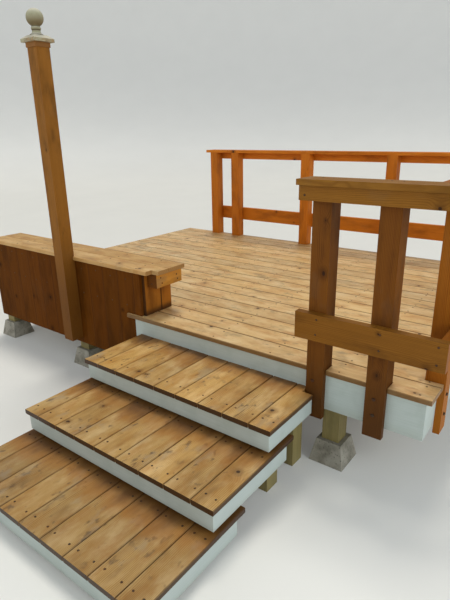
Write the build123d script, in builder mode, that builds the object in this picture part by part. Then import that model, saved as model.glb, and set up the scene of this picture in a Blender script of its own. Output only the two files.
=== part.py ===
from build123d import *
import math
import os

# Timber deck with three overlapping box steps, a planter bench and post-and-rail guards.
# Origin: middle of the underside of the lowest step's front beam, on the ground.
# +X runs to the right along the steps, +Y from the lowest step up to the deck, +Z up.

# Lumber, as planed sizes
board_width = 139.7
board_thickness = 25.4
board_gap = 3.2
board_edge_bevel = 3.0
framing_thickness = 38.0
joist_depth = 184.0
post_side = 89.0
paint_board_thickness = 19.0
step_fascia_depth = 89.0
paint_joint = 0.4
cladding_width = 140.0

# Steps
step_width = 1226.0
step_box_height = 130.0
step_run = 389.0
step_box_depth = 595.0
top_run = 427.0
top_rise = 118.0
step_count = 3
step_overhang = 13.0
step_joist_count = 5
step_side_setback = 40.0
end_board_cutback = 30.0
middle_beam_run = 372.0

# Deck
deck_right = 1136.0
deck_left = -2293.0
deck_board_count = 17
deck_front_overhang = 12.0
deck_side_overhang = 23.0
joist_count = 10
fascia_left = -658.0

# Ground supports
support_columns = 4
support_left_inset = 93.0
support_right_inset = 456.0
pier_height = 120.0
pier_base = 180.0
pier_top = 130.0
step_leg_inset = 60.0

# Guard posts and rails
post_leg_thickness = 30.0
post_drop = 46.0
post_clearance = 3.0
rail_height = 884.0
top_rail_depth = 64.0
bottom_rail_depth = 127.0
bottom_rail_level = 163.0
cap_overhang = 13.0
rail_end_run = 50.0
cap_end_run = 58.0
front_post_inset = 9.5
corner_post_inset = 236.5
side_first_post = 225.5
side_post_count = 3
rear_post_offsets_left = (438.0, 709.0, 1530.0)
rear_post_inset = 1076.0

# Planter bench
bench_end = -580.0
bench_face_setback = 14.0
bench_depth = 268.0
bench_top = 299.0
bench_cap_overhang = 13.0
bench_cap_end = -472.0
bench_notch_depth = 50.0
bench_notch_length = 56.0
bench_skirt_drop = 330.0
bench_strip_left = -720.0
cladding_joint = 1.0
cleat_thickness = 80.0
cleat_depth = 89.0
cleat_length = 222.0
cleat_start = 47.0

# Tall corner post with its cap and turned ball
tall_post_centre = -1263.0
tall_post_top = 1558.0
tall_post_drop = 290.0
collar_side = 99.0
collar_height = 27.0
cap_plate_side = 136.0
cap_plate_thickness = 18.0
cap_pyramid_height = 19.0
cap_pyramid_top = 84.0
flare_diameter = 78.0
flare_foot = 4.0
flare_height = 26.0
ball_diameter = 98.0
ball_neck_diameter = 48.0
ball_neck_height = 50.0

# Levels and lines worked out from the sizes above
board_pitch = board_width + board_gap
step_frame_depth = step_box_height - board_thickness
deck_top = step_count * step_box_height + top_rise
deck_joist_top = deck_top - board_thickness
deck_joist_bottom = deck_joist_top - joist_depth
first_nosing = -(step_overhang + paint_board_thickness + framing_thickness / 2)
deck_nosing = first_nosing + (step_count - 1) * step_run + top_run
deck_rear = deck_nosing + deck_board_count * board_pitch - board_gap
front_fascia_face = deck_nosing + deck_front_overhang
rear_fascia_face = deck_rear - deck_front_overhang
side_fascia_face = deck_right - deck_side_overhang
front_rim_face = front_fascia_face + paint_board_thickness
rear_rim_face = rear_fascia_face - paint_board_thickness
side_rim_face = side_fascia_face - paint_board_thickness
steps_left = -step_width / 2
steps_right = step_width / 2
front_post_face = front_fascia_face - post_leg_thickness
rear_post_face = rear_fascia_face + post_leg_thickness
rim_thickness = 2 * framing_thickness
side_post_face = side_fascia_face + post_leg_thickness
front_rail_face = front_post_face - framing_thickness
rear_rail_face = rear_post_face + framing_thickness
side_rail_face = side_post_face + framing_thickness
post_bottom = deck_joist_bottom - post_drop
cap_bottom = deck_top + rail_height - board_thickness
top_rail_bottom = cap_bottom - top_rail_depth
bottom_rail_bottom = deck_top + bottom_rail_level
bench_face = deck_nosing + bench_face_setback
bench_back = bench_face + bench_depth
bench_rim_face = bench_face + paint_board_thickness
bench_inner_end = bench_end - paint_board_thickness
front_post_centres = (steps_right - front_post_inset, deck_right - corner_post_inset)
rear_post_centres = [deck_left + offset for offset in rear_post_offsets_left]
rear_post_centres += [deck_right - rear_post_inset, deck_right - corner_post_inset]
bench_cap_bottom = deck_top + bench_top - board_thickness

os.makedirs("parts", exist_ok=True)


def timber(x0, x1, y0, y1, z0, z1):
    """A square-edged timber between two corners, added to the part being built."""
    with Locations(((x0 + x1) / 2, (y0 + y1) / 2, (z0 + z1) / 2)):
        Box(x1 - x0, y1 - y0, z1 - z0)


def plank_along_y(x0, x1, y0, y1, top):
    """A flat plank with bevelled long edges that runs from front to back."""
    section = Plane(((x0 + x1) / 2, y0, top - board_thickness / 2), x_dir=(1, 0, 0), z_dir=(0, 1, 0))
    with BuildSketch(section) as profile:
        Rectangle(x1 - x0, board_thickness)
        chamfer(profile.vertices(), length=board_edge_bevel)
    extrude(profile.sketch, amount=y1 - y0)


def plank_along_x(x0, x1, y0, y1, top):
    """A flat plank with bevelled long edges that runs from left to right."""
    section = Plane((x0, (y0 + y1) / 2, top - board_thickness / 2), x_dir=(0, 1, 0), z_dir=(1, 0, 0))
    with BuildSketch(section) as profile:
        Rectangle(y1 - y0, board_thickness)
        chamfer(profile.vertices(), length=board_edge_bevel)
    extrude(profile.sketch, amount=x1 - x0)


def cut_away(x0, x1, y0, y1, z0, z1):
    """Removes a square-sided notch from the part being built."""
    with Locations(((x0 + x1) / 2, (y0 + y1) / 2, (z0 + z1) / 2)):
        Box(x1 - x0, y1 - y0, z1 - z0, mode=Mode.SUBTRACT)


def save(block, name):
    """Labels a finished sub-part and writes it under its own name."""
    block.part.label = name
    export_step(block.part, f"parts/{name}.step")


def taper_angle(base, top, height):
    """Slope from upright, in degrees, of a square block's sides that narrow from base to top."""
    return math.degrees(math.atan2((base - top) / 2, height))


def spread(first, last, count):
    """Evenly spaced places from the first to the last."""
    return [first + (last - first) * i / (count - 1) for i in range(count)]


def step_board_edges():
    """Left and right edges of a step's boards: full boards between two ripped ones of equal width."""
    full = int((step_width + board_gap) // board_pitch) - 1
    ripped = (step_width - full * board_pitch - board_gap) / 2
    edges = [(steps_left, steps_left + ripped)]
    for i in range(full):
        left = steps_left + ripped + board_gap + i * board_pitch
        edges.append((left, left + board_width))
    edges.append((steps_right - ripped, steps_right))
    return edges


# The three box steps, each one resting on the back of the one below
step_names = ("lower_step", "middle_step", "upper_step")
for index, name in enumerate(step_names):
    top = (index + 1) * step_box_height
    nosing = first_nosing + index * step_run
    is_upper = index == step_count - 1
    boards_back = front_fascia_face if is_upper else nosing + step_box_depth
    frame_back = boards_back - step_side_setback
    frame_top = top - board_thickness
    frame_bottom = frame_top - step_frame_depth
    fascia_front = nosing + step_overhang
    frame_front = fascia_front + paint_board_thickness
    frame_left = steps_left + step_overhang + paint_board_thickness
    frame_right = steps_right - step_overhang - paint_board_thickness

    with BuildPart() as boards:
        for left, right in step_board_edges():
            plank_along_y(left, right, nosing, boards_back, top)
        if is_upper:
            notch_left = front_post_centres[0] - post_side / 2 - post_clearance
            notch_front = front_post_face - end_board_cutback
            cut_away(notch_left, steps_right + board_gap, notch_front, boards_back + board_gap,
                     frame_top - board_gap, top + board_gap)
    save(boards, f"{name}_boards")

    with BuildPart() as fascias:
        fascia_bottom = frame_top - step_fascia_depth
        timber(frame_left + paint_joint, frame_right - paint_joint, fascia_front, frame_front,
               fascia_bottom, frame_top)
        for inner, outer in ((frame_left - paint_board_thickness, frame_left),
                             (frame_right, frame_right + paint_board_thickness)):
            timber(inner, outer, fascia_front, frame_back, fascia_bottom, frame_top)
    save(fascias, f"{name}_fascias")

    beam_fronts = [frame_front, frame_back - framing_thickness]
    if not is_upper:
        beam_fronts.insert(1, nosing + middle_beam_run - framing_thickness / 2)
    with BuildPart() as beams:
        for front in beam_fronts:
            timber(frame_left, frame_right, front, front + framing_thickness,
                   frame_bottom, frame_top)
    save(beams, f"{name}_beams")

    with BuildPart() as joists:
        centres = spread(frame_left + framing_thickness / 2, frame_right - framing_thickness / 2,
                         step_joist_count)
        for centre in centres:
            for front, back in zip(beam_fronts, beam_fronts[1:]):
                timber(centre - framing_thickness / 2, centre + framing_thickness / 2,
                       front + framing_thickness, back, frame_bottom, frame_top)
    save(joists, f"{name}_joists")

# Legs under the backs of the middle and upper steps
with BuildPart() as step_legs:
    for index in range(1, step_count):
        is_upper = index == step_count - 1
        boards_back = front_fascia_face if is_upper else first_nosing + index * step_run + step_box_depth
        leg_back = boards_back - step_side_setback
        leg_top = index * step_box_height
        for side in (-1, 1):
            centre = side * (steps_right - step_leg_inset - post_side / 2)
            timber(centre - post_side / 2, centre + post_side / 2, leg_back - post_side, leg_back,
                   0, leg_top)
save(step_legs, "step_legs")

# Deck framing: doubled rims at the front and rear, with joists between them
with BuildPart() as deck_rims:
    timber(fascia_left, side_rim_face, front_rim_face, front_rim_face + rim_thickness,
           deck_joist_bottom, deck_joist_top)
    timber(deck_left, fascia_left - cladding_joint, bench_rim_face, bench_rim_face + rim_thickness,
           deck_joist_bottom, deck_joist_top)
    timber(deck_left, side_rim_face, rear_rim_face - rim_thickness, rear_rim_face,
           deck_joist_bottom, deck_joist_top)
save(deck_rims, "deck_rims")

with BuildPart() as deck_joists:
    centres = spread(deck_left + framing_thickness / 2, side_rim_face - framing_thickness / 2, joist_count)
    for centre in centres:
        left = centre - framing_thickness / 2
        right = centre + framing_thickness / 2
        rim_face = bench_rim_face if left < fascia_left else front_rim_face
        timber(left, right, rim_face + rim_thickness, rear_rim_face - rim_thickness,
               deck_joist_bottom, deck_joist_top)
save(deck_joists, "deck_joists")

# Painted fascia boards round the deck
with BuildPart() as deck_front_fascia:
    timber(fascia_left, side_rim_face, front_fascia_face, front_rim_face, deck_joist_bottom, deck_joist_top)
save(deck_front_fascia, "deck_front_fascia")

with BuildPart() as deck_side_fascia:
    timber(side_rim_face, side_fascia_face, front_fascia_face, rear_fascia_face,
           deck_joist_bottom, deck_joist_top)
save(deck_side_fascia, "deck_side_fascia")

with BuildPart() as deck_rear_fascia:
    timber(deck_left, side_rim_face, rear_rim_face, rear_fascia_face, deck_joist_bottom, deck_joist_top)
save(deck_rear_fascia, "deck_rear_fascia")

# Support posts under the rims, on tapered concrete pier blocks
support_places = []
for x in spread(deck_left + support_left_inset, deck_right - support_right_inset, support_columns):
    rim_face = bench_rim_face if x < fascia_left else front_rim_face
    support_places.append((x, rim_face + post_side / 2))
    support_places.append((x, rear_rim_face - post_side / 2))

with BuildPart() as pier_blocks:
    for place in support_places:
        with BuildSketch(Plane.XY) as base:
            with Locations(place):
                Rectangle(pier_base, pier_base)
        extrude(base.sketch, amount=pier_height, taper=taper_angle(pier_base, pier_top, pier_height))
save(pier_blocks, "pier_blocks")

with BuildPart() as support_posts:
    for x, y in support_places:
        timber(x - post_side / 2, x + post_side / 2, y - post_side / 2, y + post_side / 2,
               pier_height, deck_joist_bottom)
save(support_posts, "support_posts")

# Deck boards, notched round the guard posts and cut back in front of the bench
side_post_centres = spread(deck_nosing + side_first_post, deck_rear - side_first_post, side_post_count)

with BuildPart() as deck_boards:
    for row in range(deck_board_count):
        front = deck_nosing + row * board_pitch
        left = bench_strip_left if row == 0 else deck_left
        plank_along_x(left, deck_right, front, front + board_width, deck_top)
    cut_away(bench_strip_left - board_gap, bench_inner_end,
             bench_face, deck_nosing + board_width + board_gap / 2,
             deck_joist_top - board_gap, deck_top + board_gap)
    for centre in front_post_centres:
        cut_away(centre - post_side / 2 - post_clearance, centre + post_side / 2 + post_clearance,
                 deck_nosing - board_gap, front_post_face + post_side + post_clearance,
                 deck_joist_top - board_gap, deck_top + board_gap)
    for centre in rear_post_centres:
        cut_away(centre - post_side / 2 - post_clearance, centre + post_side / 2 + post_clearance,
                 rear_post_face - post_side - post_clearance, deck_rear + board_gap,
                 deck_joist_top - board_gap, deck_top + board_gap)
    for centre in side_post_centres:
        cut_away(side_post_face - post_side - post_clearance, deck_right + board_gap,
                 centre - post_side / 2 - post_clearance, centre + post_side / 2 + post_clearance,
                 deck_joist_top - board_gap, deck_top + board_gap)
save(deck_boards, "deck_boards")


# Guard posts: square above the deck, notched to a leg that is bolted over the fascia below it
def guard_post(centre_x, centre_y, outward):
    """One guard post, with the notch on its inner side below the deck's boards."""
    timber(centre_x - post_side / 2, centre_x + post_side / 2, centre_y - post_side / 2,
           centre_y + post_side / 2, post_bottom, cap_bottom)
    leg = post_side - post_leg_thickness
    inner_x = centre_x - outward[0] * (post_side - leg) / 2
    inner_y = centre_y - outward[1] * (post_side - leg) / 2
    half_x = (leg if outward[0] else post_side + board_gap) / 2
    half_y = (leg if outward[1] else post_side + board_gap) / 2
    cut_away(inner_x - half_x, inner_x + half_x, inner_y - half_y, inner_y + half_y,
             post_bottom - board_gap, deck_joist_top)


with BuildPart() as front_posts:
    for centre in front_post_centres:
        guard_post(centre, front_post_face + post_side / 2, (0, -1))
save(front_posts, "front_guard_posts")

with BuildPart() as side_posts:
    for centre in side_post_centres:
        guard_post(side_post_face - post_side / 2, centre, (1, 0))
save(side_posts, "side_guard_posts")

with BuildPart() as rear_posts:
    for centre in rear_post_centres:
        guard_post(centre, rear_post_face - post_side / 2, (0, 1))
save(rear_posts, "rear_guard_posts")

# Rails on the outer faces of the posts, at two levels
front_rail_left = front_post_centres[0] - post_side / 2 - rail_end_run
rear_rail_left = rear_post_centres[0] - post_side / 2 - rail_end_run
rail_levels = (("top_rail", top_rail_bottom, cap_bottom),
               ("bottom_rail", bottom_rail_bottom, bottom_rail_bottom + bottom_rail_depth))
for name, low, high in rail_levels:
    with BuildPart() as front_rail:
        timber(front_rail_left, side_rail_face, front_rail_face, front_post_face, low, high)
    save(front_rail, f"front_{name}")

    with BuildPart() as side_rail:
        timber(side_post_face, side_rail_face, front_post_face, rear_post_face, low, high)
    save(side_rail, f"side_{name}")

    with BuildPart() as rear_rail:
        timber(rear_rail_left, side_rail_face, rear_post_face, rear_rail_face, low, high)
    save(rear_rail, f"rear_{name}")

# Flat caps over posts and top rails, mitred at the two right-hand corners
cap_front = front_rail_face - cap_overhang
cap_rear = rear_rail_face + cap_overhang
cap_side = side_rail_face + cap_overhang
cap_plane = Plane.XY.offset(cap_bottom)

with BuildPart() as front_cap:
    with BuildSketch(cap_plane) as outline:
        with BuildLine():
            Polyline((front_rail_left - cap_end_run + rail_end_run, cap_front),
                     (cap_side, cap_front),
                     (cap_side - board_width, cap_front + board_width),
                     (front_rail_left - cap_end_run + rail_end_run, cap_front + board_width),
                     close=True)
        make_face()
    extrude(amount=board_thickness)
save(front_cap, "front_rail_cap")

with BuildPart() as side_cap:
    with BuildSketch(cap_plane) as outline:
        with BuildLine():
            Polyline((cap_side, cap_front),
                     (cap_side, cap_rear),
                     (cap_side - board_width, cap_rear - board_width),
                     (cap_side - board_width, cap_front + board_width),
                     close=True)
        make_face()
    extrude(amount=board_thickness)
save(side_cap, "side_rail_cap")

with BuildPart() as rear_cap:
    with BuildSketch(cap_plane) as outline:
        with BuildLine():
            Polyline((rear_rail_left - cap_end_run + rail_end_run, cap_rear),
                     (rear_rail_left - cap_end_run + rail_end_run, cap_rear - board_width),
                     (cap_side - board_width, cap_rear - board_width),
                     (cap_side, cap_rear),
                     close=True)
        make_face()
    extrude(amount=board_thickness)
save(rear_cap, "rear_rail_cap")

# Planter bench: vertical cladding on a light frame, under a two-board cap
cladding_bottom = deck_top - bench_skirt_drop


def cladding(start, y0, y1, z0, z1):
    """Upright boards side by side, from a starting edge to the deck's left end."""
    right = start - cladding_joint
    while right > deck_left + paint_board_thickness:
        left = max(right - cladding_width, deck_left + paint_board_thickness)
        timber(left, right, y0, y1, z0, z1)
        right = left - cladding_joint


with BuildPart() as bench_front:
    timber(fascia_left, bench_inner_end, bench_face, bench_rim_face, deck_joist_top, bench_cap_bottom)
    cladding(fascia_left, bench_face, bench_rim_face, cladding_bottom, bench_cap_bottom)
save(bench_front, "bench_front_cladding")

with BuildPart() as bench_back_boards:
    cladding(bench_inner_end + cladding_joint, bench_back - paint_board_thickness, bench_back,
             deck_top, bench_cap_bottom)
save(bench_back_boards, "bench_back_cladding")

with BuildPart() as bench_end_boards:
    back_board = bench_depth - 2 * paint_board_thickness - cladding_width
    for outer in (bench_end, deck_left + paint_board_thickness):
        front = bench_rim_face
        for width in (cladding_width, back_board):
            timber(outer - paint_board_thickness, outer, front, front + width - cladding_joint,
                   deck_top, bench_cap_bottom)
            front += width
save(bench_end_boards, "bench_end_cladding")

with BuildPart() as bench_frame:
    for front in (bench_rim_face, bench_back - paint_board_thickness - framing_thickness):
        timber(deck_left + paint_board_thickness, bench_inner_end, front, front + framing_thickness,
               bench_cap_bottom - cleat_depth, bench_cap_bottom)
save(bench_frame, "bench_frame")

cap_start = bench_face - bench_cap_overhang
with BuildPart() as bench_cap:
    for row in range(2):
        front = cap_start + row * board_pitch
        plank_along_x(deck_left, bench_cap_end, front, front + board_width, deck_top + bench_top)
    cut_away(bench_cap_end - bench_notch_length, bench_cap_end + board_gap,
             cap_start - board_gap, cap_start + bench_notch_depth,
             bench_cap_bottom - board_gap, deck_top + bench_top + board_gap)
    cut_away(tall_post_centre - post_side / 2 - post_clearance,
             tall_post_centre + post_side / 2 + post_clearance,
             cap_start - board_gap, bench_face + board_gap / 2,
             bench_cap_bottom - board_gap, deck_top + bench_top + board_gap)
save(bench_cap, "bench_cap")

with BuildPart() as bench_cleat:
    cleat_front = bench_face + cleat_start
    timber(bench_end, bench_end + cleat_thickness, cleat_front, cleat_front + cleat_length,
           bench_cap_bottom - cleat_depth, bench_cap_bottom)
save(bench_cleat, "bench_cap_cleat")

# Tall post outside the bench, with its bevelled cap and turned ball
tall_post_y = bench_face - post_side / 2
with BuildPart() as tall_post:
    timber(tall_post_centre - post_side / 2, tall_post_centre + post_side / 2,
           bench_face - post_side, bench_face,
           deck_top - tall_post_drop, deck_top + tall_post_top)
save(tall_post, "tall_post")

collar_bottom = deck_top + tall_post_top
with BuildPart() as collar:
    timber(tall_post_centre - collar_side / 2, tall_post_centre + collar_side / 2,
           tall_post_y - collar_side / 2, tall_post_y + collar_side / 2,
           collar_bottom, collar_bottom + collar_height)
save(collar, "tall_post_collar")

with BuildPart() as tall_post_cap:
    plate_bottom = collar_bottom + collar_height
    with BuildSketch(Plane.XY.offset(plate_bottom)) as plate:
        with Locations((tall_post_centre, tall_post_y)):
            Rectangle(cap_plate_side, cap_plate_side)
    extrude(plate.sketch, amount=cap_plate_thickness)
    with BuildSketch(Plane.XY.offset(plate_bottom + cap_plate_thickness)) as bevel:
        with Locations((tall_post_centre, tall_post_y)):
            Rectangle(cap_plate_side, cap_plate_side)
    extrude(bevel.sketch, amount=cap_pyramid_height,
            taper=taper_angle(cap_plate_side, cap_pyramid_top, cap_pyramid_height))

    flare_radius = flare_diameter / 2
    ball_radius = ball_diameter / 2
    neck_radius = ball_neck_diameter / 2
    flare_middle = (flare_radius - (flare_radius - neck_radius) * 0.5 ** 0.5,
                    flare_height - (flare_height - flare_foot) * 0.5 ** 0.5)
    ball_base = plate_bottom + cap_plate_thickness + cap_pyramid_height
    ball_centre = ball_neck_height + (ball_radius ** 2 - neck_radius ** 2) ** 0.5
    turning_axis = Axis((tall_post_centre, tall_post_y, ball_base), (0, 0, 1))
    turning_plane = Plane((tall_post_centre, tall_post_y, ball_base), x_dir=(1, 0, 0), z_dir=(0, -1, 0))
    with BuildSketch(turning_plane) as turned:
        with BuildLine():
            Polyline((0, ball_centre + ball_radius),
                     (0, 0),
                     (flare_radius, 0),
                     (flare_radius, flare_foot))
            ThreePointArc((flare_radius, flare_foot), flare_middle, (neck_radius, flare_height))
            Line((neck_radius, flare_height), (neck_radius, ball_neck_height))
            ThreePointArc((neck_radius, ball_neck_height),
                          (ball_radius, ball_centre),
                          (0, ball_centre + ball_radius))
        make_face()
    revolve(turned.sketch, axis=turning_axis)
save(tall_post_cap, "tall_post_cap")
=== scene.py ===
import bpy
import bmesh
import math
import random
from mathutils import Matrix, Vector


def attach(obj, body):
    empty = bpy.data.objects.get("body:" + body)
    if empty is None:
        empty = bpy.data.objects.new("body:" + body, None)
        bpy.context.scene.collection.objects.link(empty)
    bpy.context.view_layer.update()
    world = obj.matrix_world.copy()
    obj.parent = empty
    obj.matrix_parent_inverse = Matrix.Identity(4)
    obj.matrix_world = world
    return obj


# Deck stairs in metres: +X to the right along the steps, +Y up towards the deck, +Z up
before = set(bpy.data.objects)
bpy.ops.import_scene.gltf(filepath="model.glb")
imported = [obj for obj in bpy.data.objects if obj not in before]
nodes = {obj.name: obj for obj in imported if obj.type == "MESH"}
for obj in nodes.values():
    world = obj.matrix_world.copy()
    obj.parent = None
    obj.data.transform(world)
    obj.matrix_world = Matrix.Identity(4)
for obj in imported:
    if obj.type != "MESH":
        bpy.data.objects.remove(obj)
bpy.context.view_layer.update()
print("frame loaded:", len(nodes), "parts")

# Places and sizes from the build that several pieces share
boardPitch = 0.1429      # one board and one gap
halfGap = 0.0016
halfBoard = 0.06985
stepHalfWidth = 0.613
endBoard = 0.11125       # the narrower board at each side of a step
deckFront = 1.154
deckTop = 0.508
guardTop = 1.392         # top of the guards' caps
plateTop = 2.130         # top of the plate on the tall post
fullTurn = 2 * math.pi


class Wire:  # a node socket that takes part in ordinary arithmetic
    def __init__(self, shader, socket):
        self.shader = shader
        self.socket = socket

    def __add__(self, other):
        return self.shader.maths("ADD", self, other)

    def __radd__(self, other):
        return self.shader.maths("ADD", other, self)

    def __sub__(self, other):
        return self.shader.maths("SUBTRACT", self, other)

    def __rsub__(self, other):
        return self.shader.maths("SUBTRACT", other, self)

    def __mul__(self, other):
        return self.shader.maths("MULTIPLY", self, other)

    def __rmul__(self, other):
        return self.shader.maths("MULTIPLY", other, self)

    def __truediv__(self, other):
        return self.shader.maths("DIVIDE", self, other)

    def __pow__(self, other):
        return self.shader.maths("POWER", self, other)


class Shader:  # one material, with its nodes added by a single method
    def __init__(self, name, metallic=0.0, specular=0.5):
        self.material = bpy.data.materials.new(name)
        self.material.use_nodes = True
        self.tree = self.material.node_tree
        self.tree.nodes.clear()
        self.surface = self.tree.nodes.new("ShaderNodeBsdfPrincipled")
        self.surface.inputs["Metallic"].default_value = metallic
        self.surface.inputs["Specular IOR Level"].default_value = specular
        output = self.tree.nodes.new("ShaderNodeOutputMaterial")
        self.tree.links.new(self.surface.outputs[0], output.inputs[0])

    def add(self, kind, settings, inputs, output=0):
        made = self.tree.nodes.new(kind)
        for name, value in settings.items():
            setattr(made, name, value)
        self.feed(made, inputs)
        return Wire(self, made.outputs[output])

    def feed(self, made, inputs):
        for name, value in inputs.items():
            if isinstance(value, Wire):
                self.tree.links.new(value.socket, made.inputs[name])
            else:
                made.inputs[name].default_value = value

    def maths(self, operation, *values):
        return self.add("ShaderNodeMath", {"operation": operation}, dict(enumerate(values)))

    def unsigned(self, value):
        return self.maths("ABSOLUTE", value)

    def split(self, found):
        return [self.add("ShaderNodeSeparateXYZ", {}, {0: found}, axis) for axis in range(3)]

    def place(self):
        return self.split(self.add("ShaderNodeTexCoord", {}, {}, "Object"))

    def facing(self):
        return self.split(self.add("ShaderNodeNewGeometry", {}, {}, "Normal"))

    def vector(self, x, y, z):
        return self.add("ShaderNodeCombineXYZ", {}, {0: x, 1: y, 2: z})

    def noise(self, at, scale=1.0, detail=2.0, roughness=0.5):
        return self.add("ShaderNodeTexNoise", {}, {"Vector": self.vector(*at), "Scale": scale,
                                                   "Detail": detail, "Roughness": roughness})

    def chance(self, seed):
        return self.add("ShaderNodeTexWhiteNoise", {"noise_dimensions": "1D"}, {"W": seed})

    def cells(self, at, output):
        return self.add("ShaderNodeTexVoronoi", {"voronoi_dimensions": "2D"},
                        {"Vector": at, "Scale": 1.0, "Randomness": 1.0}, output)

    def fade(self, value, low, high, start=0.0, end=1.0):
        return self.add("ShaderNodeMapRange", {"interpolation_type": "SMOOTHSTEP"},
                        {0: value, 1: low, 2: high, 3: start, 4: end})

    def blend(self, factor, first, second, way="MIX"):
        return self.add("ShaderNodeMix", {"data_type": "RGBA", "blend_type": way},
                        {0: factor, 6: first, 7: second}, 2)

    def stain(self, factor, under, colour):
        return self.blend(factor, under, tone(*colour))

    def shine(self, colour, roughness, height=None, depth=0.0004):
        self.feed(self.surface, {"Base Color": colour, "Roughness": roughness})
        if height is not None:
            bump = self.add("ShaderNodeBump", {}, {"Strength": 1.0, "Distance": depth, "Height": height})
            self.feed(self.surface, {"Normal": bump})
        return self.material


def tone(red, green, blue):
    # a colour picked on a screen, from 0 to 255, as the shader's linear one
    def linear(value):
        value = value / 255
        return value / 12.92 if value <= 0.04045 else ((value + 0.055) / 1.055) ** 2.4
    return (linear(red), linear(green), linear(blue), 1.0)


# Wood: growth rings, fibres, stain clouds, knots and splits, set out along the grain
woodDefaults = {
    "across": None,          # axis over the face; None adds the two that aren't the grain
    "boards": None,          # (axis, first edge, pitch) where every board differs
    "seed": 0.0,
    "ringSpacing": 0.0065,
    "ringContrast": 0.5,
    "clouds": 0.5,
    "greyStain": 0.4,
    "greyTone": (104, 94, 78),
    "pale": 0.0,             # share of chalky light patches, amber patches and small dark smudges
    "amber": 0.0,
    "smudges": 0.0,
    "paleTone": (212, 184, 138),
    "amberTone": (158, 98, 34),
    "smudgeTone": (86, 64, 42),
    "knotSpacing": 0.24,
    "knotShare": 0.45,
    "knotSize": 0.011,
    "knotTone": (52, 30, 16),
    "knots": (),             # knots seen in the photograph: (x, y, z, radius)
    "splits": 0.6,
    "splitTone": (58, 34, 18),
    "boardSpread": 0.22,
    "edgeDirt": 0.45,
    "endTone": (74, 44, 22),
    "heart": (0.06, -0.2),   # the log's heart, across and through, and the rings' spacing on sawn ends
    "endRings": 0.004,
    "sideShadeTone": None,        # painted shade on the long side faces of the boards
    "sideShadeShare": 0.8,
    "sideShadeFrom": 0.0,         # only for edges that lie further out than this
    "roughness": 0.6,
    "specular": 0.3,
    "dirt": None,            # (axis, clean place, dirty place) where the stain darkens, as dirt and as painted shade
    "dirtTone": (96, 62, 28),
    "dirtShare": 0.85,
    "dirtRim": None,         # a warmer stain on the clean side of that darkening
    "dirtWave": (0.14, 0.05),  # how far its edge wanders within a board, and from board to board
}


class Plank:  # where a point lies on its board, and the board's own random numbers
    def __init__(self, shader, look):
        self.axes = dict(zip("xyz", shader.place()))
        sides = [self.axes[axis] for axis in "xyz" if axis != look["grain"]]
        self.along = self.axes[look["grain"]]
        self.across = self.axes[look["across"]] if look["across"] else sides[0] + sides[1]
        self.through = sides[0] - sides[1]
        self.fromEdge = None         # from the first edge of its board
        board = 0.0
        if look["boards"]:
            axis, first, pitch = look["boards"]
            cell = (self.axes[axis] - first) / pitch
            board = shader.maths("FLOOR", cell)
            self.fromEdge = (cell - board) * pitch
        seed = board + look["seed"]
        self.chance = shader.chance(seed)
        self.otherChance = shader.chance(seed * 1.7 + 9.3)
        self.shift = self.chance * 37.0


def aroundKnot(shader, distance):
    # the knot's core, the darker wood round it, and the wood whose rings bend, by its radius
    return [1.0 - shader.fade(distance, *reach) for reach in ((0.75, 1.15), (0.9, 3.4), (0.0, 6.0))]


def knotMasks(shader, look, plank):
    # random knots: one point to a cell, most cells kept bare
    scale = 1 / look["knotSpacing"]
    at = shader.vector(plank.along * scale + plank.shift,
                       plank.across * scale + plank.otherChance * 21.0, 0.0)
    wobble = shader.noise((plank.along, plank.across, plank.shift), 45.0, 1.0) * 0.006
    distance = shader.cells(at, "Distance") * look["knotSpacing"] + wobble
    numbers = shader.cells(at, "Color")
    chance, reach = (shader.add("ShaderNodeSeparateColor", {}, {0: numbers}, part) for part in (0, 1))
    kept = shader.maths("LESS_THAN", chance, look["knotShare"])
    radius = (reach * 0.9 + 0.45) * look["knotSize"]
    masks = [kept * mask for mask in aroundKnot(shader, distance / radius)]
    # and the knots that the photograph shows
    for *spot, radius in look["knots"]:
        offsets = [plank.axes[axis] - value for axis, value in zip("xyz", spot)]
        offsets[2] = offsets[2] * 0.72
        far = shader.maths("SQRT", offsets[0] ** 2 + offsets[1] ** 2 + offsets[2] ** 2) + wobble
        masks = [shader.maths("MAXIMUM", mask, seen)
                 for mask, seen in zip(masks, aroundKnot(shader, far / radius))]
    return masks


def dirtied(shader, look, plank, wood, cloud, greyCloud):
    # darkening towards one place, as dirt and as painted shade, and dirt along the boards' edges
    if look["dirt"]:
        axis, clean, dirty = look["dirt"]
        inBoard, toNext = look["dirtWave"]
        wavy = plank.axes[axis] + (cloud - 0.5) * inBoard + (plank.otherChance - 0.5) * toNext
        if look["dirtRim"]:
            rim = shader.fade(wavy, clean - 0.06, clean + 0.03, 0.0, 0.6)
            wood = shader.stain(rim, wood, look["dirtRim"])
        dark = shader.fade(wavy, clean, dirty, 0.0, look["dirtShare"])
        wood = shader.stain(dark, wood, look["dirtTone"])
    if plank.fromEdge is not None and look["edgeDirt"]:
        toEdge = shader.maths("MINIMUM", plank.fromEdge, look["boards"][2] - plank.fromEdge)
        edge = 1.0 - shader.fade(toEdge + (greyCloud - 0.5) * 0.006, 0.002, 0.0085)
        wood = shader.stain(edge * look["edgeDirt"], wood, look["endTone"])
    return wood


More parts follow.
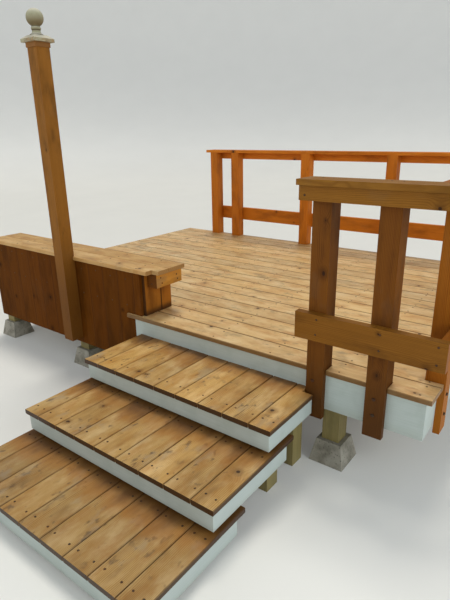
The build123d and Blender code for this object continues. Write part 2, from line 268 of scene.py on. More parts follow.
def sawnFaces(shader, look, plank, wood):
    normal = dict(zip("xyz", shader.facing()))
    # painted shade on the boards' outer long side faces
    if look["sideShadeTone"]:
        side = shader.fade(shader.unsigned(normal[look["across"]]), 0.55, 0.8)
        outer = shader.fade(shader.unsigned(plank.across), look["sideShadeFrom"] - 0.01, look["sideShadeFrom"])
        wood = shader.stain(side * outer * look["sideShadeShare"], wood, look["sideShadeTone"])
    # sawn ends show the rings as arcs
    sawnEnd = shader.fade(shader.unsigned(normal[look["grain"]]), 0.6, 0.8)
    arcAcross = (plank.across if plank.fromEdge is None else plank.fromEdge) - look["heart"][0]
    arcThrough = plank.through - look["heart"][1]
    arcs = shader.maths("SQRT", arcAcross * arcAcross + arcThrough * arcThrough)
    arcTone = shader.maths("SINE", arcs * (fullTurn / look["endRings"])) * 0.5 + 0.5
    darker = [value * 0.55 for value in look["endTone"]]
    endWood = shader.stain(arcTone * 0.5, tone(*look["endTone"]), darker)
    return shader.blend(sawnEnd, wood, endWood)


def stainedWood(name, look):
    look = {**woodDefaults, **look}
    shader = Shader(name, specular=look["specular"])
    plank = Plank(shader, look)
    along, across, through, shift = plank.along, plank.across, plank.through, plank.shift
    knotCore, knotHalo, swirl = knotMasks(shader, look, plank)

    # growth rings run along the grain and bend round the knots; scales are cycles per metre
    drift = shader.noise((along * 1.1 + shift, across * 6.0, through * 6.0 + shift))
    rings = across / look["ringSpacing"] + drift * 9.0 + swirl * 2.6
    ringTone = (shader.maths("SINE", rings * fullTurn) * 0.5 + 0.5) ** 1.6
    fibre = shader.noise((along * 7.0 + shift, across * 330.0, through * 330.0), 1.0, 2.0, 0.6)
    streak = shader.noise((along * 1.4 + shift, across * 42.0, through * 42.0))
    cloud = shader.noise((along * 3.4 + shift, across * 7.5 + shift, through * 7.5), 1.0, 3.0, 0.62)
    greyCloud = shader.noise((along * 5.5, across * 10.0 + shift, shift), 1.0, 3.0, 0.6)

    light, middle, dark = (tone(*colour) for colour in look["tones"])
    figure = ringTone * look["ringContrast"] + streak * 0.55 + fibre * 0.3 - 0.15
    wood = shader.blend(shader.fade(figure, 0.15, 0.85), light, middle)
    wood = shader.blend(shader.fade(cloud, 0.46, 0.74) * look["clouds"], wood, dark)
    if look["pale"]:
        paleCloud = shader.noise((along * 5.2 + shift, across * 12.0 - shift, 7.0), 1.0, 4.0, 0.6)
        amberCloud = shader.noise((along * 6.0 - shift, across * 14.0 + shift, 3.0), 1.0, 4.0, 0.65)
        smudge = shader.noise((along * 20.0, across * 30.0 + shift, shift), 1.0, 2.0, 0.6)
        wood = shader.stain(shader.fade(paleCloud, 0.42, 0.74) * look["pale"], wood, look["paleTone"])
        wood = shader.stain(shader.fade(amberCloud, 0.42, 0.72) * look["amber"], wood, look["amberTone"])
        smudged = shader.fade(smudge, 0.56, 0.7) * shader.fade(greyCloud, 0.42, 0.6)
        wood = shader.stain(smudged * look["smudges"], wood, look["smudgeTone"])
    grey = shader.fade(greyCloud, 0.55, 0.72) * look["greyStain"]
    wood = shader.stain(grey, wood, look["greyTone"])
    wood = shader.blend(knotHalo * 0.55, wood, dark)
    wood = shader.stain(knotCore * 0.92, wood, look["knotTone"])
    splitLine = shader.noise((along * 1.2 + shift, across * 26.0, through * 26.0 + 5.0), 1.0, 1.0)
    splitPlace = shader.noise((along * 2.0 + shift, across * 3.0, 4.0), 1.0, 1.0)
    split = 1.0 - shader.fade(shader.unsigned(splitLine - 0.5), 0.0, 0.012)
    split = split * shader.fade(splitPlace, 0.58, 0.66) * look["splits"]
    wood = shader.stain(split, wood, look["splitTone"])
    bright = plank.chance * look["boardSpread"] + (1.0 - look["boardSpread"] * 0.6)
    warmth = shader.vector(bright, bright * (plank.otherChance * 0.05 + 0.975),
                           bright * (plank.otherChance * 0.16 + 0.9))
    wood = shader.blend(1.0, wood, warmth, "MULTIPLY")
    wood = dirtied(shader, look, plank, wood, cloud, greyCloud)
    wood = sawnFaces(shader, look, plank, wood)

    gloss = look["roughness"] + (fibre - 0.5) * 0.2 + grey * 0.12 + knotCore * 0.08
    height = ringTone * 0.3 + fibre * 0.55 - split * 2.2 - knotCore * 0.5
    return shader.shine(wood, gloss, height, 0.0006)


stains = {  # the light, middle and dark tone of each kind of wood
    "steps": ((186, 151, 93), (156, 118, 62), (100, 64, 23)),
    "deck": ((226, 192, 136), (206, 166, 108), (154, 110, 58)),
    # all the guards wear one stain: the front guard's darker tones are painted shade, the rear guard's
    # brighter ones painted sunlight, and the side guard's lie between
    "shadedFrontPosts": ((128, 76, 18), (102, 56, 10), (62, 32, 4)),
    "shadedFrontRails": ((142, 94, 30), (116, 72, 18), (78, 44, 10)),
    "shadedFrontCap": ((144, 98, 34), (118, 74, 20), (80, 46, 10)),
    "side": ((172, 104, 26), (144, 78, 15), (94, 48, 8)),
    "rear": ((206, 120, 30), (178, 94, 16), (122, 58, 8)),
    # the cladding's very dark tones are painted shade
    "cladding": ((104, 58, 10), (80, 41, 6), (50, 25, 3)),
    "benchTop": ((212, 172, 112), (186, 142, 82), (138, 94, 46)),
    "benchEnd": ((176, 112, 36), (148, 88, 22), (98, 54, 12)),
    "cleat": ((206, 148, 68), (178, 118, 42), (126, 78, 22)),
    "tallPost": ((160, 106, 38), (130, 80, 24), (84, 50, 12)),
    "treated": ((150, 138, 92), (124, 112, 70), (84, 76, 46)),
}
deepStain = 0.14         # specular of the dark, oily stain on posts and rails
finishes = {}

steps = {  # riser is the face behind the boards; rows are screws from front to back
    # shade: painted light and shade on each tread, below 1 darker and above 1 lighter
    "lower": {"top": 0.13, "riser": 0.351, "rows": (0.003, 0.321), "seed": 3.0, "shade": 0.92, "knots": ()},
    "middle": {"top": 0.26, "riser": 0.740, "rows": (0.395, 0.716), "seed": 31.0, "shade": 1.02, "knots": (
        (-0.336, 0.395, 0.26, 0.011), (-0.308, 0.592, 0.26, 0.012))},
    "upper": {"top": 0.39, "riser": 1.166, "rows": (0.797,), "seed": 57.0, "shade": 1.09, "knots": (
        (-0.249, 0.796, 0.39, 0.011), (-0.197, 0.796, 0.39, 0.009), (0.53, 0.877, 0.39, 0.013))},
}


def stepBoards(name, step):
    # shade scales each tread's colours as painted light and shade: the lower treads darker, the upper ones
    # lighter
    def shaded(colour):
        return [value * step["shade"] for value in colour]
    firstEdge = -stepHalfWidth + endBoard + halfGap - boardPitch
    return stainedWood(name, {
        "grain": "y", "across": "x", "tones": [shaded(colour) for colour in stains["steps"]],
        "seed": step["seed"], "boards": ("x", firstEdge, boardPitch), "edgeDirt": 0.28,
        # endTone: dark end grain on the treads' front edges, darkened further as painted shade
        "endTone": (72, 46, 22), "clouds": 0.55, "greyStain": 0.5, "greyTone": (150, 136, 114),
        "smudges": 0.75, "pale": 0.62, "paleTone": shaded((206, 176, 128)),
        "amber": 0.6, "amberTone": shaded((152, 100, 30)), "roughness": 0.46,
        # the back of each tread darkens towards the riser, with a warmer rim: stain kept where feet don't
        # wear it, and painted shade under the step above
        "dirt": ("y", step["riser"] - 0.125, step["riser"] + 0.015), "dirtTone": (88, 54, 20),
        # the outer side faces of the end boards get painted shade
        "dirtRim": (150, 96, 34), "dirtWave": (0.2, 0.07), "sideShadeTone": (60, 36, 15),
        "sideShadeShare": 0.94, "sideShadeFrom": 0.6, "knotShare": 0.06, "knots": step["knots"],
    })


for name, step in steps.items():
    finishes[f"{name}_step_boards"] = stepBoards(f"{name}StepWood", step)
finishes["deck_boards"] = stainedWood("deckWood", {
    "grain": "x", "across": "y", "tones": stains["deck"], "seed": 80.0,
    "boards": ("y", deckFront - halfGap, boardPitch), "clouds": 0.42, "edgeDirt": 0.5,
    "pale": 0.6, "paleTone": (232, 206, 160), "amber": 0.6, "amberTone": (180, 118, 50), "smudges": 0.3,
    # the deck boards' front and back faces get painted shade
    "endTone": (146, 108, 64), "sideShadeTone": (94, 62, 24), "sideShadeShare": 0.78,
    "knotShare": 0.28, "roughness": 0.44})


def guardPosts(name, stain, seed, boards, **more):
    return stainedWood(name, {
        "grain": "z", "tones": stains[stain], "seed": seed, "boards": boards, "edgeDirt": 0.0,
        "specular": deepStain, "greyStain": 0.1, "knotShare": 0.2, "ringContrast": 0.4, **more})


# front posts in painted shade, rear posts in painted sunlight
finishes["front_guard_posts"] = guardPosts(
    "frontPostWood", "shadedFrontPosts", 110.0, ("x", 0.45, 0.3), knotShare=0.08,
    # darker towards the bottom
    dirt=("z", 0.8, 0.3), dirtTone=(66, 40, 14), dirtShare=0.7,
    knots=((0.624, 1.136, 0.985, 0.011), (0.621, 1.136, 1.219, 0.006), (0.9, 1.136, 0.565, 0.009)))
finishes["side_guard_posts"] = guardPosts("sidePostWood", "side", 120.0, ("y", 1.0, 0.7))
finishes["rear_guard_posts"] = guardPosts("rearPostWood", "rear", 130.0, ("x", -0.12, 0.27))

guards = {  # way of the grain and across it, first seed, and the stain of the rails and of the cap
    "front": {"grain": "x", "across": "y", "seed": 200.0, "rails": "shadedFrontRails", "cap": "shadedFrontCap",
              "capKnots": ((0.711, 1.04, guardTop, 0.012),)},
    "side": {"grain": "y", "across": "x", "seed": 210.0, "rails": "side", "cap": "side", "capKnots": ()},
    "rear": {"grain": "x", "across": "y", "seed": 220.0, "rails": "rear", "cap": "rear", "capKnots": ()},
}


def guardWood(name, guard, seed, isCap):
    return stainedWood(name, {
        "grain": guard["grain"], "across": guard["across"] if isCap else "z",
        "tones": stains[guard["cap" if isCap else "rails"]], "seed": guard["seed"] + seed,
        "greyStain": 0.1, "ringContrast": 0.28, "specular": deepStain,
        "knots": guard["capKnots"] if isCap else (),
        "endTone": (110, 70, 36) if isCap else (150, 92, 44)})


for side, guard in guards.items():
    finishes[f"{side}_top_rail"] = guardWood(f"{side}TopRailWood", guard, 8, False)
    finishes[f"{side}_bottom_rail"] = guardWood(f"{side}BottomRailWood", guard, 11, False)
    finishes[f"{side}_rail_cap"] = guardWood(f"{side}RailCapWood", guard, 8, True)

finishes["tall_post"] = stainedWood("tallPostWood", {
    "grain": "z", "tones": stains["tallPost"], "seed": 140.0, "clouds": 0.6, "greyStain": 0.1,
    # darker towards the bottom
    "knotShare": 0.12, "specular": deepStain, "dirt": ("z", 1.1, 0.5), "dirtTone": (98, 58, 14),
    "dirtShare": 0.75})
finishes["tall_post_collar"] = stainedWood("collarWood", {
    "grain": "x", "across": "z", "tones": stains["tallPost"], "seed": 145.0, "clouds": 0.4,
    "greyStain": 0.1, "endTone": (140, 92, 38)})
# the cladding's dark stain is painted shade
finishes["bench_front_cladding"] = stainedWood("benchFrontWood", {
    "grain": "z", "across": "x", "tones": stains["cladding"], "seed": 150.0,
    "boards": ("x", -0.6585, 0.141), "clouds": 0.45, "greyStain": 0.06, "specular": 0.05,
    "roughness": 0.75, "ringContrast": 0.25, "boardSpread": 0.16, "splits": 0.3})
finishes["bench_back_cladding"] = stainedWood("benchBackWood", {
    "grain": "z", "across": "x", "tones": stains["cladding"], "seed": 160.0,
    "boards": ("x", -0.598, 0.141), "clouds": 0.6, "greyStain": 0.1, "specular": 0.05,
    "roughness": 0.75})
finishes["bench_end_cladding"] = stainedWood("benchEndWood", {
    "grain": "z", "across": "y", "tones": stains["benchEnd"], "seed": 170.0,
    "boards": ("y", 1.187, 0.14), "clouds": 0.6, "greyStain": 0.1, "specular": deepStain,
    # painted shade at the foot of the end, darkening towards the deck it stands on
    "edgeDirt": 0.85, "endTone": (46, 26, 12), "dirt": ("z", 0.56, 0.515), "dirtTone": (58, 33, 14),
    "dirtWave": (0.03, 0.0)})
finishes["bench_cap"] = stainedWood("benchCapWood", {
    "grain": "x", "across": "y", "tones": stains["benchTop"], "seed": 180.0,
    "boards": ("y", 1.1534, boardPitch), "clouds": 0.45, "greyStain": 0.3, "endTone": (182, 138, 82),
    "pale": 0.5, "paleTone": (224, 190, 136), "amber": 0.5, "amberTone": (170, 112, 48)})
finishes["bench_cap_cleat"] = stainedWood("cleatWood", {
    "grain": "y", "across": "z", "tones": stains["cleat"], "seed": 190.0, "specular": 0.1,
    # the cleat's end faces: end grain darkened as painted shade
    "endTone": (108, 62, 14)})


def treatedLumber(name, grain, across, seed):
    return stainedWood(name, {"grain": grain, "across": across, "tones": stains["treated"], "seed": seed,
                              "greyStain": 0.5, "endTone": (90, 82, 56)})


treatedBeams = treatedLumber("treatedLumber", "x", None, 300.0)
treatedJoists = treatedLumber("treatedJoists", "y", "z", 310.0)
treatedPosts = treatedLumber("treatedPosts", "z", None, 320.0)
for name in nodes:
    if name.endswith("_beams") or name in ("deck_rims", "bench_frame"):
        finishes[name] = treatedBeams
    if name.endswith("_joists"):
        finishes[name] = treatedJoists
    if name in ("step_legs", "support_posts"):
        finishes[name] = treatedPosts
print("wood finishes made")


# white paint, its tones greyed a little as painted shade
paint = {"tone": (182, 193, 190), "mottleTone": (164, 176, 171), "brushTone": (146, 158, 151),
         "lowTone": (150, 154, 140), "chipTone": (150, 122, 88), "specular": 0.4, "roughness": 0.42}


def paintedBoard(name, grain, bottom, height):
    # brushed white paint with a few small chips, a little dirtier low down
    shader = Shader(name, specular=paint["specular"])
    axes = dict(zip("xyz", shader.place()))
    brush = shader.noise((axes[grain] * 5.0, axes["z"] * 240.0, 1.0), 1.0, 2.0, 0.6)
    mottle = shader.noise(axes.values(), 9.0, 3.0, 0.6)
    speck = shader.noise(axes.values(), 120.0, 2.0, 0.6)
    mottled = shader.fade(mottle, 0.4, 0.75) * 0.5
    white = shader.stain(mottled, tone(*paint["tone"]), paint["mottleTone"])
    white = shader.stain(shader.fade(brush, 0.35, 0.8) * 0.25, white, paint["brushTone"])
    low = 1.0 - shader.fade(axes["z"] + (mottle - 0.5) * 0.02, bottom, bottom + height * 0.3)
    white = shader.stain(low * 0.22, white, paint["lowTone"])
    chip = shader.fade(speck, 0.76, 0.775) * shader.fade(mottle, 0.55, 0.62)
    white = shader.stain(chip * 0.8, white, paint["chipTone"])
    return shader.shine(white, paint["roughness"] + brush * 0.16, brush * 0.5 - chip)


stepFascia = {"height": 0.09, "belowTop": 0.115}
deckFascia = {"bottom": 0.299, "height": 0.184}
for name, step in steps.items():
    bottom = step["top"] - stepFascia["belowTop"]
    finishes[f"{name}_step_fascias"] = paintedBoard(f"{name}StepPaint", "x", bottom, stepFascia["height"])
for side, grain in (("front", "x"), ("side", "y"), ("rear", "x")):
    finishes[f"deck_{side}_fascia"] = paintedBoard(
        f"deck{side.title()}Paint", grain, deckFascia["bottom"], deckFascia["height"])


concrete = {"tone": (168, 164, 152), "patchTone": (126, 122, 110), "grainTone": (98, 94, 86),
            "pitTone": (70, 66, 60), "specular": 0.3, "roughness": 0.85, "pitDepth": 0.0012}


def castConcrete():
    shader = Shader("castConcrete", specular=concrete["specular"])
    at = shader.place()
    grain = shader.noise(at, 220.0, 3.0, 0.7)
    patch = shader.noise(at, 14.0, 3.0, 0.6)
    pits = shader.fade(shader.noise(at, 90.0, 1.0), 0.66, 0.7)
    grey = shader.stain(shader.fade(patch, 0.35, 0.7), tone(*concrete["tone"]), concrete["patchTone"])
    grey = shader.stain(grain * 0.35, grey, concrete["grainTone"])
    grey = shader.stain(pits * 0.6, grey, concrete["pitTone"])
    return shader.shine(grey, concrete["roughness"], grain * 0.6 - pits * 1.4, concrete["pitDepth"])


capFinish = {
    "tone": (172, 170, 144), "patchTone": (140, 136, 104), "streakTone": (104, 90, 58),
    "bareTone": (168, 112, 58), "bareDark": (104, 62, 30), "undersideShadeTone": (98, 76, 38),
    "grooveShadeTone": (62, 52, 30), "bleachedTone": (226, 222, 206), "specular": 0.3, "roughness": 0.72,
    "grooves": (0.0015, 0.0268, 0.0465),  # heights over the plate
}


def weatheredCap():
    # chalky paint gone thin over the wood, palest on top of the ball, with painted shade on its undersides
    # and in the turned grooves
    look = capFinish
    shader = Shader("weatheredCap", specular=look["specular"])
    x, y, z = shader.place()
    patch = shader.noise((x, y, z), 34.0, 3.0, 0.6)
    fine = shader.noise((x, y, z), 190.0, 2.0, 0.6)
    streak = shader.noise((x * 60.0, y * 60.0, z * 9.0), 1.0, 3.0, 0.6)
    upward = shader.facing()[2]
    chalk = shader.stain(shader.fade(patch, 0.4, 0.7) * 0.4, tone(*look["tone"]), look["patchTone"])
    chalk = shader.stain(shader.fade(streak, 0.55, 0.8) * 0.25, chalk, look["streakTone"])
    bare = shader.stain(shader.fade(streak, 0.35, 0.7), tone(*look["bareTone"]), look["bareDark"])
    worn = (1.0 - shader.fade(z + (patch - 0.5) * 0.02, plateTop - 0.03, plateTop + 0.02)) * 0.55
    finish = shader.blend(worn * shader.fade(fine + patch, 0.85, 1.15), chalk, bare)
    # painted shade on the faces that look down
    under = 1.0 - shader.fade(upward + (patch - 0.5) * 0.4, -0.7, 0.45)
    under = under * shader.fade(z, plateTop, plateTop + 0.03)
    finish = shader.stain(under * 0.8, finish, look["undersideShadeTone"])
    # painted shade in the turned grooves
    for height in look["grooves"]:
        grooveShade = 1.0 - shader.fade(shader.unsigned(z - (plateTop + height)), 0.0012, 0.0045)
        finish = shader.stain(grooveShade * 0.7, finish, look["grooveShadeTone"])
    bleached = shader.fade(upward + (patch - 0.5) * 0.3, 0.3, 0.95)
    finish = shader.stain(bleached * 0.7, finish, look["bleachedTone"])
    return shader.shine(finish, look["roughness"] + fine * 0.1, patch * 0.6 + fine * 0.4, 0.0006)


finishes["pier_blocks"] = castConcrete()
finishes["tall_post_cap"] = weatheredCap()

edgeSoftness = {  # width of the worn edge on each kind of part; the first word found in the name counts
    "boards": 0.0012, "posts": 0.0035, "rail": 0.003, "cap": 0.0035, "cladding": 0.0015,
    "fascia": 0.0012, "blocks": 0.006, "tall_post": 0.004, "": 0.002,
}
sharpestEdge = math.radians(40)  # edges flatter than this stay as they are
for name, part in nodes.items():
    part.data.materials.clear()
    part.data.materials.append(finishes[name])
    bevel = part.modifiers.new("wornEdges", "BEVEL")
    bevel.width = next(size for word, size in edgeSoftness.items() if word in name)
    bevel.segments = 2
    bevel.limit_method = "ANGLE"
    bevel.angle_limit = sharpestEdge
print("parts finished:", len(finishes))


metals = {
    "screwMetal": {"tone": (58, 50, 42), "wornTone": (92, 84, 74), "rust": 0.6},
    "boltMetal": {"tone": (62, 48, 38), "wornTone": (96, 78, 62), "rust": 0.9},
}
rustTone = (96, 52, 26)
bruiseShadeTones = {  # ring round a screw head, dark and light: bruised wood and painted shade of the countersunk hole
    "bruiseAndHoleShade": ((66, 40, 20), (98, 62, 30)),
    "deckBruiseAndHoleShade": ((112, 74, 38), (150, 106, 60)),
}


def metalHead(name):
    metal = metals[name]
    shader = Shader(name, metallic=0.75)
    at = shader.place()
    patch = shader.noise(at, 240.0, 2.0, 0.6)
    slow = shader.noise(at, 9.0, 1.0)
    rusted = shader.fade(slow + patch * 0.3, 0.55, 0.85) * metal["rust"]
    colour = shader.stain(shader.fade(patch, 0.4, 0.7), tone(*metal["tone"]), metal["wornTone"])
    colour = shader.stain(rusted, colour, rustTone)
    return shader.shine(colour, 0.42 + patch * 0.25, patch, 0.0002)


def bruiseAndHoleShade(name):
    dark, light = bruiseShadeTones[name]
    shader = Shader(name, specular=0.2)
    patch = shader.noise(shader.place(), 300.0)
    return shader.shine(shader.stain(patch, tone(*dark), light), 0.85, patch, 0.0003)


screwMetal = metalHead("screwMetal")
boltMetal = metalHead("boltMetal")
bruiseShade = bruiseAndHoleShade("bruiseAndHoleShade")
deckBruiseShade = bruiseAndHoleShade("deckBruiseAndHoleShade")


def show(name, data):
    shown = bpy.data.objects.new(name, data)
    bpy.context.scene.collection.objects.link(shown)
    return shown


def meshFrom(name, built, materials, smooth=False):
    for face in built.faces:
        face.smooth = smooth
    mesh = bpy.data.meshes.new(name)
    built.to_mesh(mesh)
    built.free()
    for material in materials:
        mesh.materials.append(material)
    return mesh


def newPiece(name, mesh):
    piece = show(name, mesh)
    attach(piece, "root")


def standingOn(point, outward):
    return Matrix.Translation(point) @ outward.to_track_quat("Z", "Y").to_matrix().to_4x4()


def turnedSkin(built, turn, rings, sides, material, jitter=0.0, chance=None, closed=True):
    # rings of (radius, height) joined into one turned skin, closed at its last ring
    loops = []
    for radius, height in rings:
        loop = []
        for side in range(sides):
            angle = fullTurn * side / sides
            reach = radius * (1 + (chance.uniform(-jitter, jitter) if jitter else 0))
            point = Vector((reach * math.cos(angle), reach * math.sin(angle), height))
            loop.append(built.verts.new(turn @ point))
        loops.append(loop)
    for low, high in zip(loops, loops[1:]):
        for side in range(sides):
            after = (side + 1) % sides
            built.faces.new((low[side], low[after], high[after], high[side])).material_index = material
    if closed:
        built.faces.new(loops[-1]).material_index = material


screwShape = {"radius": 0.0039, "height": 0.0009, "rounding": 0.82, "foot": 0.0002, "recess": 0.0015,
              "recessDepth": 0.0007, "bruiseAndShade": 0.0053, "bruiseAndShadeHeight": 0.00025, "ragged": 0.16, "sides": 10}


def screws(name, places, seed, bruiseAndShade=bruiseShade):
    # one mesh of screw heads; places hold a point on the wood and the way out of it
    chance = random.Random(seed)
    built = bmesh.new()
    shape = screwShape
    radius, top, recess, sides = (shape[key] for key in ("radius", "height", "recess", "sides"))
    bruiseAndShadeRings = ((shape["bruiseAndShade"], 0.0), (radius, shape["bruiseAndShadeHeight"]))
    headRings = ((radius, shape["foot"]), (radius, top * 0.5), (radius * shape["rounding"], top),
                 (recess, top), (recess * 0.8, top - shape["recessDepth"]))
    for point, outward in places:
        turn = standingOn(point, outward) @ Matrix.Rotation(chance.uniform(0, math.pi), 4, "Z")
        # a ring round each head: bruised wood, darkened as painted shade of the countersunk hole
        turnedSkin(built, turn, bruiseAndShadeRings, sides, 1, shape["ragged"], chance)
        turnedSkin(built, turn, headRings, sides, 0)
    newPiece(name, meshFrom(name, built, [screwMetal, bruiseAndShade]))
    print(name, len(places), "screws")


up = Vector((0, 0, 1))
forward = Vector((0, -1, 0))
rightward = Vector((1, 0, 0))
backward = Vector((0, 1, 0))


def jittered(chance, point, along, across, amount=0.003):
    return point + along * chance.uniform(-amount, amount) + across * chance.uniform(-amount, amount)


screwReach = {"endBoard": 0.027, "board": 0.0445, "benchBoard": 0.042}  # from a board's middle


def stepScrews():
    chance = random.Random(11)
    places = []
    outer = stepHalfWidth - endBoard / 2
    boards = [(-outer, screwReach["endBoard"])]
    boards += [(boardPitch * (index - 3), screwReach["board"]) for index in range(7)]
    boards.append((outer, screwReach["endBoard"]))
    for step in steps.values():
        for y in step["rows"]:
            for centre, reach in boards:
                for side in (-1, 1):
                    point = Vector((centre + side * reach, y, step["top"]))
                    places.append((jittered(chance, point, rightward, backward), up))
    screws("stepScrews", places, 21)


deckShape = {"left": -2.293, "right": 1.094, "boards": 17, "joists": 10, "thickness": 0.038,
             "benchBoards": 2, "benchRight": -0.56, "spread": 0.005}


def deckScrews():
    chance = random.Random(12)
    shape = deckShape
    places = []
    gap = (shape["right"] - shape["left"] - shape["thickness"]) / (shape["joists"] - 1)
    for joist in range(shape["joists"]):
        x = shape["left"] + shape["thickness"] / 2 + joist * gap
        for board in range(shape["boards"]):
            if board < shape["benchBoards"] and x < shape["benchRight"]:
                continue
            centre = deckFront + board * boardPitch + halfBoard
            for side in (-1, 1):
                point = Vector((x, centre + side * screwReach["board"], deckTop))
                places.append((jittered(chance, point, rightward, backward, shape["spread"]), up))
    screws("deckScrews", places, 22, deckBruiseShade)


posts = {  # middles of the guard posts
    "front": [(0.6035, 1.136), (0.8995, 1.136)],
    "side": [(1.143, 1.3795), (1.143, 2.36705), (1.143, 3.3546)],
    "rear": [(-1.855, 3.5981), (-1.584, 3.5981), (-0.763, 3.5981), (0.060, 3.5981), (0.8995, 3.5981)],
}
outwards = {"front": forward, "side": rightward, "rear": backward}
sideways = {"front": rightward, "side": backward, "rear": rightward}
railShape = {"depth": 0.038, "heights": (0.702, 0.774), "shift": 0.014,
             "endHeights": (0.7, 0.776), "sideRail": (1.145, 1.098, 3.6361),  # x, front and back end
             "topRailEnd": (0.537, 1.098, 1.325)}
capShape = {"inset": 0.045, "reach": 0.022}


def railScrews():
    chance = random.Random(13)
    shape = railShape
    places = []
    for side, spots in posts.items():
        outward, beside = outwards[side], sideways[side]
        for x, y in spots:
            face = Vector((x, y, 0)) + outward * shape["depth"]
            for height in shape["heights"]:
                point = face + beside * shape["shift"] + up * height
                places.append((jittered(chance, point, beside, up), outward))
    x, front, back = shape["sideRail"]
    for height in shape["endHeights"]:
        places.append((Vector((x, front, height)), forward))
        places.append((Vector((x, back, height)), backward))
    places.append((Vector(shape["topRailEnd"]), forward))
    screws("railScrews", places, 23)


def capScrews():
    chance = random.Random(14)
    places = []
    for side in ("front", "rear", "side"):
        for x, y in posts[side]:
            middle = Vector((x, y, guardTop)) - outwards[side] * capShape["inset"]
            for shift in (-capShape["reach"], capShape["reach"]):
                point = middle + sideways[side] * shift
                places.append((jittered(chance, point, rightward, backward), up))
    screws("capScrews", places, 24)


benchShape = {
    "front": 1.168, "firstSeam": -0.6585, "cladding": 0.141, "toMiddle": 0.07, "left": -2.2,
    "heights": (0.735, 0.565), "spread": 0.006, "capSpread": 0.004,
    "postGap": (-1.193, 0.08),       # no cladding screws this near the tall post
    "capFront": 1.155, "capTop": 0.807, "capBoards": 2, "capRows": 6, "firstRow": -0.64, "rowGap": 0.32,
    "capPostGap": (-1.263, 0.1),     # nor cap screws
    "cleatRight": -0.5, "cleatFront": 1.215,
    "cleatEndFace": ((1.252, 0.753), (1.262, 0.717), (1.392, 0.745), (1.4, 0.715)),  # (y, z)
    "cleatFrontFace": ((-0.543, 0.752), (-0.541, 0.716)),  # (x, z)
}


def benchScrews():
    chance = random.Random(15)
    shape = benchShape
    places = []
    postX, clear = shape["postGap"]
    x = shape["firstSeam"]
    while x > shape["left"]:
        for height in shape["heights"]:
            point = Vector((x - shape["toMiddle"], shape["front"], height))
            if abs(x - postX) > clear:
                places.append((jittered(chance, point, rightward, up, shape["spread"]), forward))
        x -= shape["cladding"]
    postX, clear = shape["capPostGap"]
    for board in range(shape["capBoards"]):
        centre = shape["capFront"] + board * boardPitch + halfBoard
        for row in range(shape["capRows"]):
            x = shape["firstRow"] - row * shape["rowGap"]
            for side in (-1, 1):
                if abs(x - postX) > clear:
                    point = Vector((x, centre + side * screwReach["benchBoard"], shape["capTop"]))
                    places.append((jittered(chance, point, rightward, backward, shape["capSpread"]), up))
    for y, height in shape["cleatEndFace"]:
        places.append((Vector((shape["cleatRight"], y, height)), rightward))
    for x, height in shape["cleatFrontFace"]:
        places.append((Vector((x, shape["cleatFront"], height)), forward))
    screws("benchScrews", places, 25)


boltShape = {
    "collar": 0.0085, "collarThickness": 0.0012, "collarSides": 20, "across": 0.0072, "head": 0.0055,
    "corner": 0.0015,
    "heights": (0.447, 0.345), "shift": -0.008,
    "frontSpots": (((0.594, 0.448), (0.594, 0.322)), ((0.897, 0.446), (0.897, 0.366))),  # (x, z)
}


def postBolts():
    # two rusty hex heads through each post's lower leg
    built = bmesh.new()
    shape = boltShape
    chance = random.Random(16)
    thick, collar, across = shape["collarThickness"], shape["collar"], shape["across"]
    top = thick + shape["head"]
    collarRings = ((collar, 0.0), (collar, thick * 0.7), (collar * 0.95, thick), (across, thick))
    hexRings = ((across, thick), (across, top - shape["corner"]), (across * 0.86, top))
    for side, spots in posts.items():
        for index, (x, y) in enumerate(spots):
            if side == "front":
                bolts = [Vector((spot, y, height)) for spot, height in shape["frontSpots"][index]]
            else:
                bolts = [Vector((x, y, height)) + sideways[side] * shape["shift"]
                         for height in shape["heights"]]
            for point in bolts:
                turn = standingOn(point, outwards[side])
                turnedSkin(built, turn, collarRings, shape["collarSides"], 0)
                turn = turn @ Matrix.Rotation(chance.uniform(0, math.pi), 4, "Z")
                turnedSkin(built, turn, hexRings, 6, 0)
    newPiece("postBolts", meshFrom("postBolts", built, [boltMetal]))
    print("postBolts made")


neckBead = {"centre": (-1.263, 1.1235), "sides": 40,
            "profile": ((0.0232, 0.0275), (0.0252, 0.0285), (0.0268, 0.0315), (0.0275, 0.0362),
                        (0.0268, 0.0410), (0.0252, 0.0440), (0.0232, 0.0450))}  # (radius, height)


def finialBead():
    # the thin turned ring between the flare and the ball
    built = bmesh.new()
    foot = Matrix.Translation((*neckBead["centre"], plateTop))
    turnedSkin(built, foot, neckBead["profile"], neckBead["sides"], 0, closed=False)
    mesh = meshFrom("finialBead", built, [finishes["tall_post_cap"]], True)
    newPiece("finialBead", mesh)
    print("finialBead made")


finialBead()
stepScrews()
deckScrews()
railScrews()
capScrews()
benchScrews()
postBolts()


# Pale floor that curves up into a wall all round, and soft studio light
stageShape = {"flat": 11.0, "curve": 9.0, "curveSteps": 12, "top": 18.0, "sides": 96,
              "middle": (-0.5, 1.8, -0.001), "tones": ((214, 214, 210), (220, 220, 216)),
              "glow": 0.22, "glowTone": (0.95, 0.98, 1.0, 1.0)}
room = {"tone": (0.84, 0.9, 0.97, 1.0), "strength": 0.27}


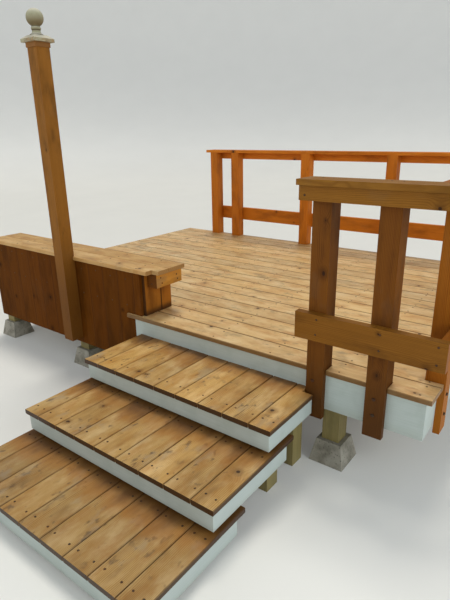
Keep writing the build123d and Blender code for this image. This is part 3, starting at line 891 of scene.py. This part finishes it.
def studioFloor():
    shape = stageShape
    profile = [(shape["flat"] * 0.5, 0.0), (shape["flat"], 0.0)]
    for step in range(1, shape["curveSteps"] + 1):
        angle = math.pi / 2 * step / shape["curveSteps"]
        profile.append((shape["flat"] + shape["curve"] * math.sin(angle),
                        shape["curve"] * (1 - math.cos(angle))))
    profile.append((shape["flat"] + shape["curve"], shape["top"]))
    built = bmesh.new()
    centre = built.verts.new((0, 0, 0))
    turns = [fullTurn * side / shape["sides"] for side in range(shape["sides"])]
    loops = [[built.verts.new((radius * math.cos(turn), radius * math.sin(turn), height)) for turn in turns]
             for radius, height in profile]
    for side in range(shape["sides"]):
        after = (side + 1) % shape["sides"]
        built.faces.new((centre, loops[0][side], loops[0][after]))
        for low, high in zip(loops, loops[1:]):
            built.faces.new((low[side], high[side], high[after], low[after]))
    shader = Shader("paleFloor", specular=0.1)
    x, y, z = shader.place()
    soft = shader.noise((x, y, z), 1.2)
    glow = shader.blend(shader.fade(z, -0.9, 1.2), (0.0, 0.0, 0.0, 1.0), shape["glowTone"])
    shader.feed(shader.surface, {"Emission Color": glow, "Emission Strength": shape["glow"]})
    dull, bright = shape["tones"]
    paleFloor = shader.shine(shader.stain(soft, tone(*dull), bright), 0.9)
    floor = show("studioFloor", meshFrom("studioFloor", built, [paleFloor], True))
    floor.location = shape["middle"]


def paleRoom():
    world = bpy.data.worlds.new("paleRoom")
    world.use_nodes = True
    background = world.node_tree.nodes["Background"]
    background.inputs[0].default_value = room["tone"]
    background.inputs[1].default_value = room["strength"]
    bpy.context.scene.world = world


keyLight = {"from": (-0.35, 0.75, 3.0), "strength": 1.55, "softness": 18, "tint": (1.0, 0.95, 0.86)}
lamps = {  # place, aim, size and watts of each soft lamp
    "sideLamp": {"at": (5.5, 0.5, 3.2), "aim": (0.2, 1.4, 0.5), "size": 3.0, "watts": 120,
                 "tint": (0.86, 0.94, 1.0)},
    "frontLamp": {"at": (-3.4, -4.0, 3.6), "aim": (-0.3, 0.8, 0.3), "size": 4.0, "watts": 55,
                  "tint": (0.92, 0.96, 1.0)},
}


def addLight(name, kind, place, aim, tint, strength):
    light = bpy.data.lights.new(name, kind)
    light.energy = strength
    light.color = tint
    shown = show(name, light)
    shown.location = place
    shown.rotation_euler = (Vector(aim) - Vector(place)).to_track_quat("-Z", "Y").to_euler()
    return light


def lights():
    key = addLight("keyLight", "SUN", keyLight["from"], (0, 0, 0), keyLight["tint"], keyLight["strength"])
    key.angle = math.radians(keyLight["softness"])
    for name, lamp in lamps.items():
        addLight(name, "AREA", lamp["at"], lamp["aim"], lamp["tint"], lamp["watts"]).size = lamp["size"]


view = {"at": (1.5575, -0.8033, 1.5905), "pitch": 18.884, "roll": 0.990, "yaw": 37.407,
        "lens": 29.794, "sensor": 36}


def photoCamera():
    pitch, roll, yaw = (math.radians(view[key]) for key in ("pitch", "roll", "yaw"))
    ahead = Vector((-math.sin(yaw) * math.cos(pitch), math.cos(yaw) * math.cos(pitch), -math.sin(pitch)))
    level = Vector((math.cos(yaw), math.sin(yaw), 0))
    down = ahead.cross(level)
    right = level * math.cos(roll) + down * math.sin(roll)
    below = down * math.cos(roll) - level * math.sin(roll)
    data = bpy.data.cameras.new("photoCamera")
    data.sensor_width = view["sensor"]
    data.lens = view["lens"]
    data.clip_end = 200
    camera = show("photoCamera", data)
    turned = Matrix((right, -below, -ahead)).transposed().to_4x4()
    camera.matrix_world = Matrix.Translation(view["at"]) @ turned
    bpy.context.scene.camera = camera


studioFloor()
paleRoom()
lights()
photoCamera()
bpy.context.scene.view_settings.view_transform = "Standard"
print("studio and camera set")
